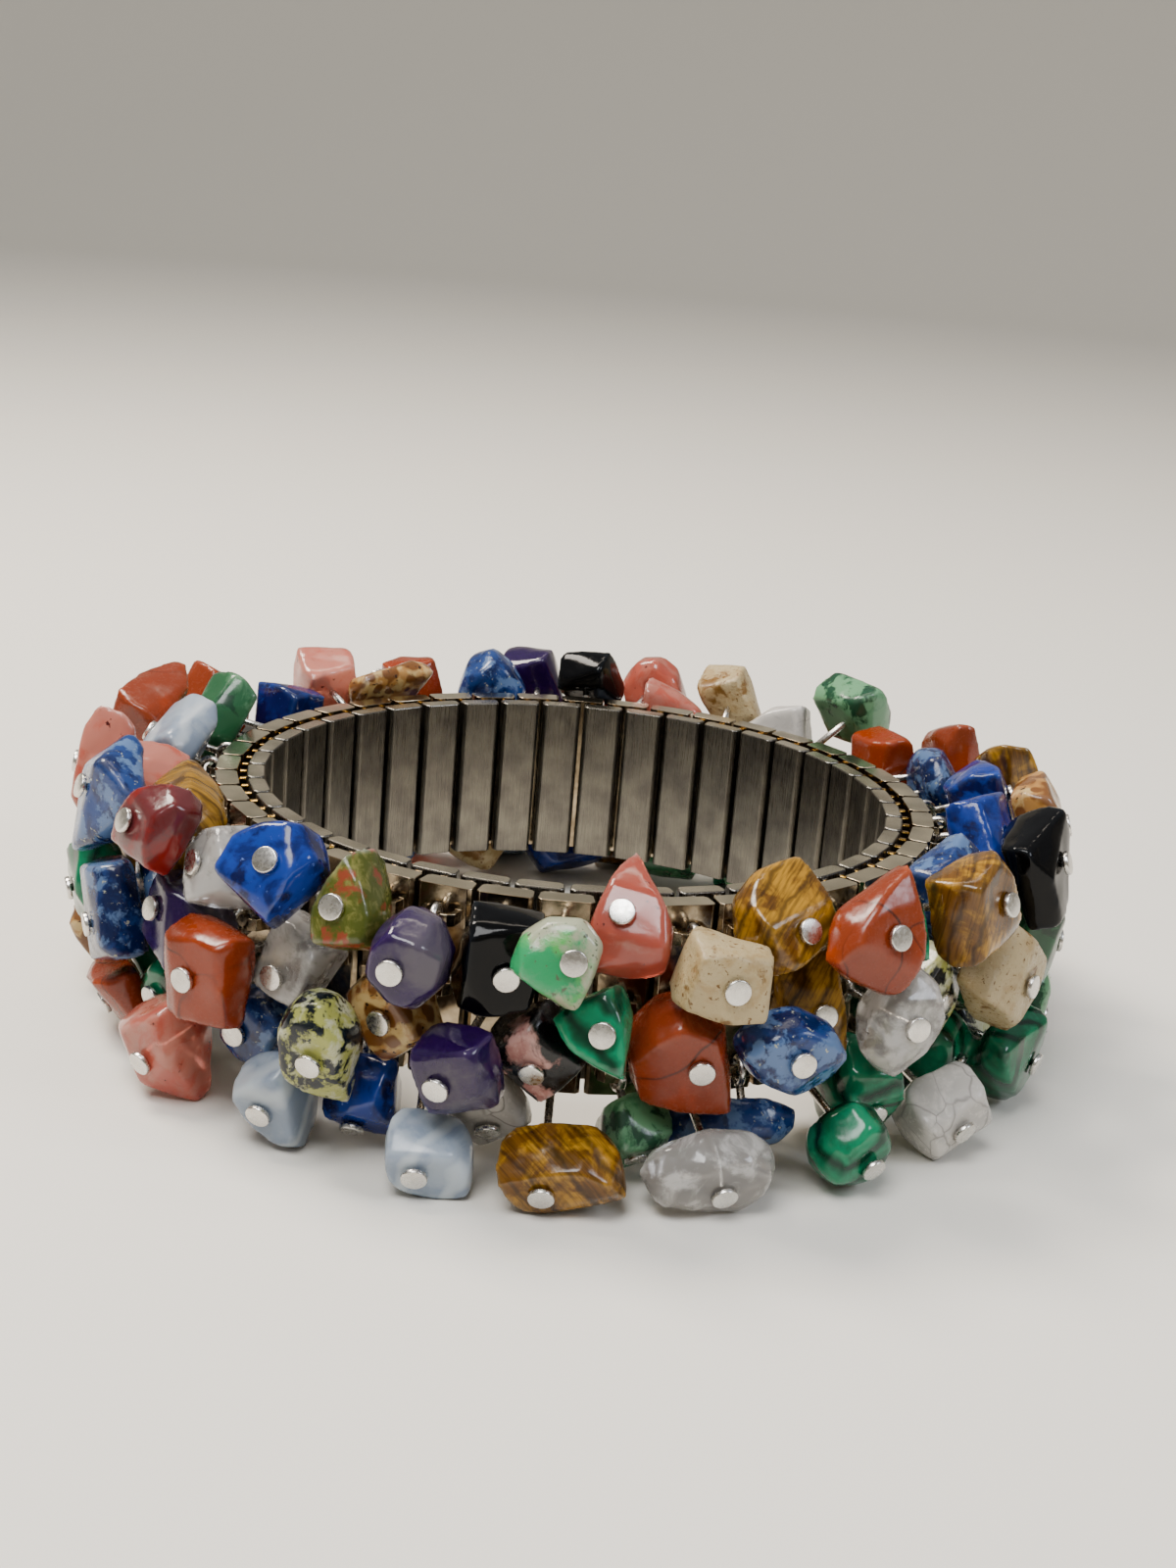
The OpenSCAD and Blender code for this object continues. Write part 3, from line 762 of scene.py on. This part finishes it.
@dataclass
class HeadPins:
    """Head pins: a loop of wire round the lug, a shank through the stone and a flat head."""

    wire: float = 0.6 * MM
    shank: float = 0.66 * MM
    loop: float = 2.5 * MM
    head: float = 2.0 * MM
    head_thick: float = 0.4 * MM
    # Broken edge of a head, and the width of its outer face against its inner one
    head_edge: float = 0.1 * MM
    head_taper: float = 0.97
    # Sides of the loop's wire, of the loop, of a shank and of a head
    wire_sides: int = 10
    loop_sides: int = 28
    shank_sides: int = 12
    head_sides: int = 28
    # Share of the heads that were left rough from the cut
    rough_heads: float = 0.4
    seed: int = 5

    def build(self, bores: list[StoneBore], material: bpy.types.Material) -> None:
        """Makes a pin for every stone, as one piece.

        Args:
            bores: Where each stone hangs.
            material: The pins' finish.
        """
        draw = Random(self.seed)
        whole = bmesh.new()
        whole.verts.layers.float.new("pin_sparkle")
        for bore in bores:
            mesh = self._pin(bore, float(draw.random() < self.rough_heads))
            whole.from_mesh(mesh)
            bpy.data.meshes.remove(mesh)
        piece = piece_from(whole, "head_pins_all", material)
        settle(piece, "head_pins")

    def _pin(self, bore: StoneBore, rough: float) -> bpy.types.Mesh:
        """Makes one pin.

        Args:
            bore: The stone's lug, line and head.
            rough: How rough this pin's head is, from 0 to 1.

        Returns:
            The pin's mesh, in its place.
        """
        bm = bmesh.new()
        sparkle = bm.verts.layers.float.new("pin_sparkle")
        centre = (self.loop - self.wire) / 2
        turns = [math.tau * k / self.wire_sides for k in range(self.wire_sides)]
        section = [
            Vector((centre - self.wire / 2 * math.sin(t), self.wire / 2 * math.cos(t), 0)) for t in turns
        ]
        add_turned(bm, section, "Y", self.loop_sides, closed=True)
        length = bore.head + self.head_thick / 2 - centre
        bmesh.ops.create_cone(
            bm,
            cap_ends=True,
            segments=self.shank_sides,
            radius1=self.shank / 2,
            radius2=self.shank / 2,
            depth=length,
            matrix=Matrix.Translation((0, 0, centre + length / 2)),
        )
        disc = bmesh.ops.create_cone(
            bm,
            cap_ends=True,
            segments=self.head_sides,
            radius1=self.head / 2,
            radius2=self.head / 2 * self.head_taper,
            depth=self.head_thick,
            matrix=Matrix.Translation((0, 0, bore.head + self.head_thick / 2)),
        )["verts"]
        ends = set(disc)
        rims = [e for e in bm.edges if e.verts[0] in ends and e.calc_face_angle(0) > math.radians(40)]
        bmesh.ops.bevel(
            bm,
            geom=rims,
            offset=self.head_edge,
            offset_type="OFFSET",
            affect="EDGES",
            segments=3,
            profile=0.5,
            material=-1,
        )
        # The head is what lies past the stone and stands out from the shank
        for vert in bm.verts:
            if vert.co.z > bore.head - 0.01 * MM and vert.co.xy.length > self.shank / 2 * 1.05:
                vert[sparkle] = rough
        bmesh.ops.recalc_face_normals(bm, faces=bm.faces)
        side = Vector((-bore.line.y, bore.line.x, 0)).normalized()
        to_lug = Matrix((side.cross(bore.line), side, bore.line)).transposed().to_4x4()
        to_lug.translation = bore.lug
        bm.transform(to_lug)
        mesh = bpy.data.meshes.new("pin")
        bm.to_mesh(mesh)
        bm.free()
        return mesh


@dataclass(frozen=True)
class Metal:
    """A metal finish of the band or its pins."""

    name: str
    colour: str
    # Where it has tarnished
    dark: str
    rough: float
    # Height of the grain, as the strength of its bump, and its spacing across and along it
    grain: float
    across_mm: float
    along_mm: float
    # Depth of the grain at full strength, and spacing of the tarnish
    grain_mm: float = 0.03
    tarnish_mm: float = 2.2
    # The sawn rim faces: colour, roughness, and the spacing and shades of their patches of painted glint
    rim: Optional[str] = None
    rim_rough: float = 0.3
    rim_glint_mm: float = 4.0
    rim_glint_shades: tuple[float, float] = (0.8, 1.35)
    # Colour and roughness of the clip legs
    clips: Optional[str] = None
    clip_rough: float = 0.16
    # Whether some of it is left rough from the cut, and the spacing and height of that part's crushed grains;
    # real ones are too fine to show, so these are coarser
    crushed: bool = False
    crushed_mm: float = 0.24
    crushed_height: float = 25.0

    def material(self) -> bpy.types.Material:
        """Builds the metal's material.

        Returns:
            The finished material.
        """
        made = bpy.data.materials.new(self.name)
        made.use_nodes = True
        tree = made.node_tree
        tree.nodes.clear()
        where = add_node(tree, "TexCoord").outputs["Object"]
        across, along = 1 / (self.across_mm * MM), 1 / (self.along_mm * MM)
        drawn = add_node(
            tree, "Mapping", {"Vector": where}, {"Scale": (across, across, along)}
        ).outputs["Vector"]
        grain = add_node(tree, "TexNoise", {"Vector": drawn}, {"Scale": 1.0, "Detail": 3.0}).outputs["Fac"]
        smudge = add_node(
            tree, "TexNoise", {"Vector": where}, {"Scale": 1 / (self.tarnish_mm * MM), "Detail": 5.0}
        ).outputs["Fac"]
        tarnish = add_node(
            tree, "MapRange", {"Value": smudge}, {"From Min": 0.35, "From Max": 0.65}
        ).outputs["Result"]
        colour = add_node(
            tree, "Mix", {0: tarnish}, {6: linear(self.colour), 7: linear(self.dark)}, data_type="RGBA"
        ).outputs[2]
        rough = add_node(
            tree,
            "MapRange",
            {"Value": grain},
            {"From Min": 0.3, "From Max": 0.7, "To Min": self.rough * 0.7, "To Max": self.rough * 1.4},
        ).outputs["Result"]
        if self.rim:
            # A rim face is level, so it is told by its normal
            facing = add_node(tree, "NewGeometry").outputs["True Normal"]
            upright = add_node(tree, "SeparateXYZ", {"Vector": facing}).outputs["Z"]
            level = add_node(tree, "Math", {0: upright}, operation="ABSOLUTE").outputs[0]
            sawn = add_node(
                tree, "MapRange", {"Value": level}, {"From Min": 0.93, "From Max": 0.98}
            ).outputs["Result"]
            # Lighter and darker patches on the rims, spread at random: painted glints
            rim_glint = add_node(
                tree, "TexNoise", {"Vector": where}, {"Scale": 1 / (self.rim_glint_mm * MM), "Detail": 1.0}
            ).outputs["Fac"]
            darkest, palest = self.rim_glint_shades
            shade = add_node(
                tree,
                "MapRange",
                {"Value": rim_glint},
                {"From Min": 0.35, "From Max": 0.65, "To Min": darkest, "To Max": palest},
            ).outputs["Result"]
            rim = add_node(
                tree, "HueSaturation", {"Value": shade}, {"Color": linear(self.rim)}
            ).outputs["Color"]
            colour = add_node(tree, "Mix", {0: sawn, 6: colour, 7: rim}, data_type="RGBA").outputs[2]
            rough = add_node(
                tree, "Mix", {0: sawn, 2: rough}, {3: self.rim_rough}, data_type="FLOAT"
            ).outputs[0]
        if self.clips:
            gilt = add_node(tree, "Attribute", attribute_name="clip_gilt").outputs["Fac"]
            colour = add_node(
                tree, "Mix", {0: gilt, 6: colour}, {7: linear(self.clips)}, data_type="RGBA"
            ).outputs[2]
            rough = add_node(
                tree, "Mix", {0: gilt, 2: rough}, {3: self.clip_rough}, data_type="FLOAT"
            ).outputs[0]
        height = grain
        if self.crushed:
            crushed = add_node(tree, "Attribute", attribute_name="pin_sparkle").outputs["Fac"]
            cells = add_node(
                tree, "TexVoronoi", {"Vector": where}, {"Scale": 1 / (self.crushed_mm * MM)}, feature="F1"
            ).outputs["Color"]
            grains = add_node(tree, "SeparateXYZ", {"Vector": cells}).outputs["X"]
            pits = add_node(tree, "Math", {0: grains, 1: crushed}, operation="MULTIPLY").outputs[0]
            height = add_node(
                tree, "Math", {0: pits, 2: grain}, {1: self.crushed_height}, operation="MULTIPLY_ADD"
            ).outputs[0]
        bump = add_node(
            tree, "Bump", {"Height": height}, {"Strength": self.grain, "Distance": self.grain_mm * MM}
        ).outputs["Normal"]
        shader = add_node(
            tree,
            "BsdfPrincipled",
            {"Base Color": colour, "Roughness": rough, "Normal": bump},
            {"Metallic": 1.0},
        )
        add_node(tree, "OutputMaterial", {"Surface": shader.outputs["BSDF"]})
        return made


@dataclass(frozen=True)
class Lamp:
    """A square soft light: its place, what it is turned to, its size in metres and its power in watts."""

    name: str
    place: tuple[float, float, float]
    aim: tuple[float, float, float]
    size: float
    power: float
    colour: str

    def hang(self) -> None:
        """Puts the light in its place."""
        light = bpy.data.lights.new(self.name, "AREA")
        light.size = self.size
        light.energy = self.power
        light.color = linear(self.colour)[:3]
        lamp = bpy.data.objects.new(self.name, light)
        lamp.location = self.place
        lamp.rotation_euler = (Vector(self.aim) - Vector(self.place)).to_track_quat("-Z", "Y").to_euler()
        bpy.context.scene.collection.objects.link(lamp)


BRACELET = (0, 0, 0.012)
BACKDROP = (0, 0.75, 0.25)
LAMPS = [
    # Warm light from behind on the left, as from a window
    Lamp("window", (-0.24, 0.12, 0.42), BRACELET, 0.18, 3.4, "#fff4e6"),
    # The room's white light, above the camera
    Lamp("room", (-0.10, -0.26, 0.50), BRACELET, 0.26, 3.0, "#ffffff"),
    # A weak, cool fill from the right
    Lamp("fill", (0.36, -0.16, 0.30), BRACELET, 0.16, 0.8, "#eaf1ff"),
    # A wash on what lies behind, so that it stays pale
    Lamp("backdrop", (0, 0.22, 0.60), BACKDROP, 0.3, 2.0, "#fff2e0"),
]


@dataclass
class Studio:
    """A round floor that sweeps up all round, the lights and the camera at the photograph's viewing angle."""

    # The camera as fitted to the photograph: height of the point that it looks at, which is the middle of the
    # band's upper rim, distance to it, angles in degrees, and lens and aim in the photograph's pixels
    rim_height: float = 20.3 * MM
    distance: float = 191.6 * MM
    elevation: float = 16.32
    roll: float = 4.72
    photo_px: tuple[int, int] = (1200, 1600)
    focal_px: float = 2230.4
    aim_px: tuple[float, float] = (588.1, 799.1)
    # Width of the camera's film, as Blender has it
    film_mm: float = 36
    # The floor is a wide round bowl, so that it has no edge from any side
    floor_radius: float = 1.0
    sweep: float = 0.5
    sweep_steps: int = 24
    wall: float = 0.3
    sides: int = 96
    # The room's own soft light, at the sides and from above
    room_low: str = "#7d7a75"
    room_high: str = "#e6e8ea"
    room_strength: float = 0.5

    def build(self) -> None:
        """Sets the floor, the world, the lights and the camera."""
        self._floor()
        self._world()
        for lamp in LAMPS:
            lamp.hang()
        self._camera()

    def _floor(self) -> None:
        """Lays the plain pale floor and sweeps it up all round."""
        rises = [math.pi / 2 * k / self.sweep_steps for k in range(self.sweep_steps + 1)]
        outline = [
            Vector((0, 0, 0)),
            *[
                Vector((self.floor_radius + self.sweep * math.sin(r), 0, self.sweep * (1 - math.cos(r))))
                for r in rises
            ],
            Vector((self.floor_radius + self.sweep, 0, self.sweep + self.wall)),
        ]
        bm = bmesh.new()
        add_turned(bm, outline, "Z", self.sides, closed=False)
        bmesh.ops.remove_doubles(bm, verts=bm.verts, dist=WELD)
        bmesh.ops.recalc_face_normals(bm, faces=bm.faces)
        if min(bm.faces, key=lambda f: f.calc_center_median().z).normal.z < 0:
            bmesh.ops.reverse_faces(bm, faces=bm.faces)
        # Matt paint, rolled on: pale and nearly without shine, so that the floor shows soft shadows alone
        made = bpy.data.materials.new("floor_paint")
        made.use_nodes = True
        shader = made.node_tree.nodes["Principled BSDF"]
        shader.inputs["Base Color"].default_value = linear("#e3dfd6")
        shader.inputs["Roughness"].default_value = 0.8
        floor = piece_from(bm, "floor", made)

    def _world(self) -> None:
        """Gives the room a soft light, paler above than at the sides."""
        world = bpy.data.worlds.new("room")
        world.use_nodes = True
        tree = world.node_tree
        tree.nodes.clear()
        where = add_node(tree, "TexCoord").outputs["Generated"]
        height = add_node(tree, "SeparateXYZ", {"Vector": where}).outputs["Z"]
        share = add_node(
            tree, "MapRange", {"Value": height}, {"From Min": 0.0, "From Max": 0.75}
        ).outputs["Result"]
        colour = add_node(
            tree, "Mix", {0: share}, {6: linear(self.room_low), 7: linear(self.room_high)}, data_type="RGBA"
        ).outputs[2]
        light = add_node(tree, "Background", {"Color": colour}, {"Strength": self.room_strength})
        add_node(tree, "OutputWorld", {"Surface": light.outputs["Background"]})
        bpy.context.scene.world = world

    def _camera(self) -> None:
        """Places the camera: behind -Y, turned a little and rolled as the photograph is."""
        rise = math.radians(self.elevation)
        tilt = math.radians(self.roll)
        aim = Vector((0, 0, self.rim_height))
        place = aim + self.distance * Vector((0, -math.cos(rise), math.sin(rise)))
        # The aim point, in pixels from the middle of the unrolled picture
        dx, dy = self.aim_px[0] - self.photo_px[0] / 2, self.aim_px[1] - self.photo_px[1] / 2
        x = math.cos(tilt) * dx + math.sin(tilt) * dy
        y = -math.sin(tilt) * dx + math.cos(tilt) * dy
        right = Vector((1, 0, 0))
        ahead = (aim - place).normalized()
        above = right.cross(ahead)
        ahead = (ahead * self.focal_px - right * x + above * y).normalized()
        right = ahead.cross(above).normalized()
        above = right.cross(ahead)
        rolled_right = right * math.cos(tilt) + above * math.sin(tilt)
        rolled_above = above * math.cos(tilt) - right * math.sin(tilt)
        lens = bpy.data.cameras.new("camera")
        lens.sensor_fit = "HORIZONTAL"
        lens.sensor_width = self.film_mm
        lens.lens = self.focal_px / self.photo_px[0] * self.film_mm
        lens.clip_start = 0.005
        camera = bpy.data.objects.new("camera", lens)
        turned = Matrix((rolled_right, rolled_above, -ahead)).transposed().to_4x4()
        turned.translation = place
        camera.matrix_world = turned
        bpy.context.scene.collection.objects.link(camera)
        bpy.context.scene.camera = camera


MINERALS = [
    # Red jasper, tumbled: dense and even brick red, with a few hair cracks and paler ridges
    Mineral("red_jasper", "#842b02", "#70290e", "#2c0d06", Pattern.CRACKS, 8, 9, marked=0.02, variety=0.3,
            edge="#cf6c42", ridge_highlight_share=0.35, rough=0.22, tumbling=3),
    # Dyed lapis, polished: royal blue with darker clouds and grains of pyrite
    Mineral("lapis", "#06164f", "#0e2c7a", "#040a38", Pattern.PATCHES, 2.6, 3.0, marked=0.3, fleck="#4c66aa",
            fleck_mm=0.6, flecked=0.08, edge="#5f83d0", ridge_highlight_share=0.3, rough=0.14, tumbling=3),
    # Sodalite, tumbled soft: grey-blue, clouded with white and some yellowish feldspar
    Mineral("sodalite", "#0a1840", "#1a3468", "#4c658c", Pattern.PATCHES, 1.8, 1.5, cloudy=0.45, marked=0.42,
            fleck="#9a9c88", fleck_mm=0.5, flecked=0.22, pits=0.14, tumbling=6),
    # Amethyst, polished: deep violet that fades to clear grey, with healed white veins
    Mineral("amethyst", "#220640", "#4c4552", "#c4bcce", Pattern.WISPS, 7.0, 5, cloudy=0.35, marked=0.3,
            clarity=0.2, glow=0.1, edge="#a88fc4", ridge_highlight_share=0.25, rough=0.12),
    # Clear quartz, polished: glassy outside, milky and flawed inside
    Mineral("clear_quartz", "#e2dfda", "#a09c97", "#ffffff", Pattern.WISPS, 2.4, 2.6, cloudy=0.4, marked=0.7,
            clarity=0.6, ridge_highlight_share=0.4, rough=0.1, tumbling=6),
    # Rose quartz, polished: watery pink with pale streaks and dark specks
    Mineral("rose_quartz", "#c65e4c", "#cc8170", "#f8e0d4", Pattern.WISPS, 2.6, 2.6, marked=0.8, variety=0.25,
            fleck="#4c1614", fleck_mm=0.8, flecked=0.08, clarity=0.45, glow=0.25, edge="#f6d8cc",
            ridge_highlight_share=0.4, rough=0.12, tumbling=5),
    # Tiger eye, polished: gold-brown bands crossed by silky fibres
    Mineral("tiger_eye", "#a0741c", "#5e3c0c", "#1c0e04", Pattern.FIBRES, 2.8, 2.2, marked=0.55,
            edge="#c8a050", ridge_highlight_share=0.3, rough=0.15, tumbling=3),
    # Aventurine, tumbled: pale sea green, clouded, a little light in it
    Mineral("aventurine", "#28603c", "#5f9069", "#17402a", Pattern.PATCHES, 3.0, 2.0, marked=0.3,
            variety=0.25, clarity=0.12, glow=0.2, edge="#b8d8be", ridge_highlight_share=0.3, tumbling=5),
    # Malachite, polished: bottle green in soft bands
    Mineral("malachite", "#02593a", "#0a7650", "#012c1c", Pattern.BANDS, 4, 2.0, marked=0.6, edge="#4fae86",
            ridge_highlight_share=0.3, rough=0.14, tumbling=5),
    # Obsidian: black glass, broken in clean planes with crisp ridges
    Mineral("obsidian", "#020203", "#040405", "#08090b", Pattern.WISPS, 5, 5, marked=0.1, edge="#2c343c",
            ridge_highlight_share=0.3, rough=0.09, shine=0.16, tumbling=2),
    # Carnelian, polished: liver red, greyish within
    Mineral("carnelian", "#4c0806", "#4f2022", "#661210", Pattern.PATCHES, 3.5, 3, marked=0.4, glow=0.1,
            edge="#b04034", ridge_highlight_share=0.4, rough=0.13, tumbling=3),
    # Leopard jasper, tumbled: cream with brown blotches and rings
    Mineral("leopard_jasper", "#b89c66", "#9a6e38", "#68401a", Pattern.SPOTS, 1.4, 1.3, marked=0.6,
            fleck="#2c1808", fleck_mm=0.7, flecked=0.3),
    # Fossil jasper, hardly polished: dry cream stone with brown pits
    Mineral("fossil_jasper", "#b5a27a", "#a58c60", "#75521f", Pattern.PATCHES, 2.2, 2.4, marked=0.12,
            fleck="#6c4a1e", fleck_mm=0.45, flecked=0.35, edge="#dccdaa", rough=0.36, pits=0.5, tumbling=3),
    # Howlite, tumbled: chalk white with grey veins
    Mineral("howlite", "#bdb8b1", "#a5a19b", "#7e7a76", Pattern.CRACKS, 2.5, 3.4, marked=0.16, rough=0.2),
    # Rhodonite, tumbled: rose pink in black
    Mineral("rhodonite", "#bd9088", "#a06c66", "#050507", Pattern.PATCHES, 2.0, 3.4, marked=0.98, rough=0.2),
    # Unakite, tumbled: olive epidote with salmon feldspar
    Mineral("unakite", "#4c5419", "#7c7a3e", "#8c4028", Pattern.PATCHES, 1.3, 1.7, marked=0.36, pits=0.12),
    # Blue chalcedony, tumbled soft: milky blue-white and translucent
    Mineral("blue_agate", "#8795a8", "#9fabb8", "#b6c0c9", Pattern.BANDS, 4, 3.2, marked=0.2, clarity=0.15,
            glow=0.35, tumbling=6),
    # Dendritic agate, tumbled: pale yellow with blue-black growths
    Mineral("dendritic_agate", "#9ea154", "#bdbea0", "#08121a", Pattern.PATCHES, 1.6, 1.7, marked=0.6,
            fleck="#182428", fleck_mm=0.6, flecked=0.35),
    # Chrysoprase, polished: mint green with some of its dull, chalky skin
    Mineral("chrysoprase", "#1f8652", "#4a9a4c", "#8f937b", Pattern.PATCHES, 4.0, 4.5, cloudy=0.35,
            marked=0.65, fleck="#4a5240", fleck_mm=0.5, flecked=0.28, glow=0.15, pits=0.25, tumbling=5),
]

# Stainless steel, brushed upright: fine scratches, drawn coarser than real ones, which don't show, and a dull
# sheen, with paler rims and gilt spring clips
INNER_STEEL = Metal(
    "brushed_steel_links", "#78746a", "#64605a", rough=0.28, grain=0.45, across_mm=0.07, along_mm=3.0,
    rim="#c4bba6", rim_rough=0.2, clips="#a07a34",
)
# Stainless steel, polished: warm mirror faces that show the stones, and paler satin rims
OUTER_STEEL = Metal(
    "polished_steel_links", "#ab9c83", "#766650", rough=0.17, grain=0.06, across_mm=0.4, along_mm=0.4,
    rim="#cbc2ac", rim_rough=0.17,
)
# Bright plated wire, drawn and headed: smooth and white, with some heads left rough, so that they glitter
PIN_WIRE = Metal(
    "bright_pin_wire", "#dedbd5", "#c6c2bb", rough=0.26, grain=0.05, across_mm=0.3, along_mm=0.3, crushed=True
)


def main() -> None:
    """Builds the bracelet piece by piece, then the studio round it."""
    logging.basicConfig(level=logging.INFO, format="%(name)s %(message)s")
    band = LinkBand()
    band.build_row("inner_links", INNER_STEEL.material())
    band.build_row("outer_links", OUTER_STEEL.material())
    bores: list[StoneBore] = []
    for number, mineral in enumerate(MINERALS):
        bores += Chips(mineral.name + "_chips", mineral, 100 + number).build(band)
    HeadPins().build(bores, PIN_WIRE.material())
    Studio().build()


if __name__ == "__main__":
    main()
